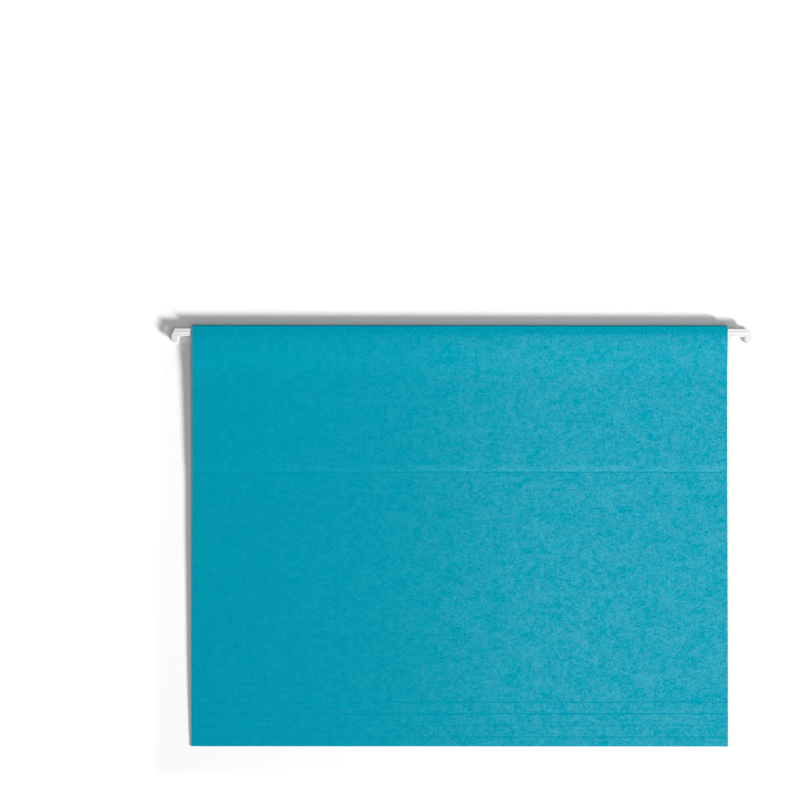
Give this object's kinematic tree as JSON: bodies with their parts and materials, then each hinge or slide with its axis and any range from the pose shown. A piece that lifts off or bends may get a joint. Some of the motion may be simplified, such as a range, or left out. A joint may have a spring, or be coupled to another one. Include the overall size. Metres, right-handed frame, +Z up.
{
  "type": "hanging file folder",
  "caption": "Letter-size hanging file folder of creased paper stock, lying closed, with hooked hanger rails in its hems, a scored box bottom and an opening front.",
  "frame": {"origin": "middle of the rear panel's outer face, which lies on the table", "axes": "+X along the hanger rails, +Y from the bottom crease to the hems, +Z up through the thickness, from the rear panel to the front panel"},
  "size_m": [0.324, 0.2344, 0.0046],
  "materials": {
    "stock": "uncoated dyed paper stock, teal",
    "rail_steel": "plain cold-rolled strip",
    "rail_coat": "white dipped coating",
    "adhesive": "dried hot melt"
  },
  "bodies": {
    "rear_panel": {"rear_panel": "stock", "rear_hem": "stock", "rear_hem_glue": "adhesive", "rear_rail_keeper": "adhesive"},
    "rear_gusset": {"rear_gusset": "stock"},
    "front_gusset_low": {"front_gusset_low": "stock"},
    "front_gusset_high": {"front_gusset_high": "stock"},
    "front_panel": {"front_panel": "stock", "front_hem": "stock", "front_hem_glue": "adhesive", "front_rail_keeper": "adhesive"},
    "rear_rail": {"rear_rail": "rail_steel", "rear_rail_tip_left": "rail_coat", "rear_rail_tip_right": "rail_coat"},
    "front_rail": {"front_rail": "rail_steel", "front_rail_tip_left": "rail_coat", "front_rail_tip_right": "rail_coat"}
  },
  "joints": [
    {"name": "rear_score_fold", "type": "hinge", "parent": "rear_panel", "child": "rear_gusset", "pos_m": [0, -0.0925, 0.00028], "axis": [-1, 0, 0], "range_deg": [0, 88]},
    {"name": "bottom_crease_fold", "type": "hinge", "parent": "rear_gusset", "child": "front_gusset_low", "pos_m": [0, -0.1172, 0.0003], "axis": [1, 0, 0], "range_deg": [0, 176]},
    {"name": "front_opening_fold", "type": "hinge", "parent": "front_gusset_low", "child": "front_gusset_high", "pos_m": [0, -0.11201, 0.00069], "axis": [1, 0, 0], "range_deg": [0, 175]},
    {"name": "front_score_fold", "type": "hinge", "parent": "front_gusset_high", "child": "front_panel", "pos_m": [0, -0.0925, 0.00075], "axis": [-1, 0, 0], "range_deg": [0, 88]},
    {"name": "rear_rail_slide", "type": "slide", "parent": "rear_panel", "child": "rear_rail", "axis": [1, 0, 0], "range_m": [-0.003, 0.0008]},
    {"name": "front_rail_slide", "type": "slide", "parent": "front_panel", "child": "front_rail", "axis": [1, 0, 0], "range_m": [-0.003, 0.0008]}
  ],
  "couplings": [
    {"joint": "rear_score_fold", "follows": "bottom_crease_fold", "ratio": 0.5},
    {"joint": "front_score_fold", "follows": "bottom_crease_fold", "ratio": 0.5}
  ]
}
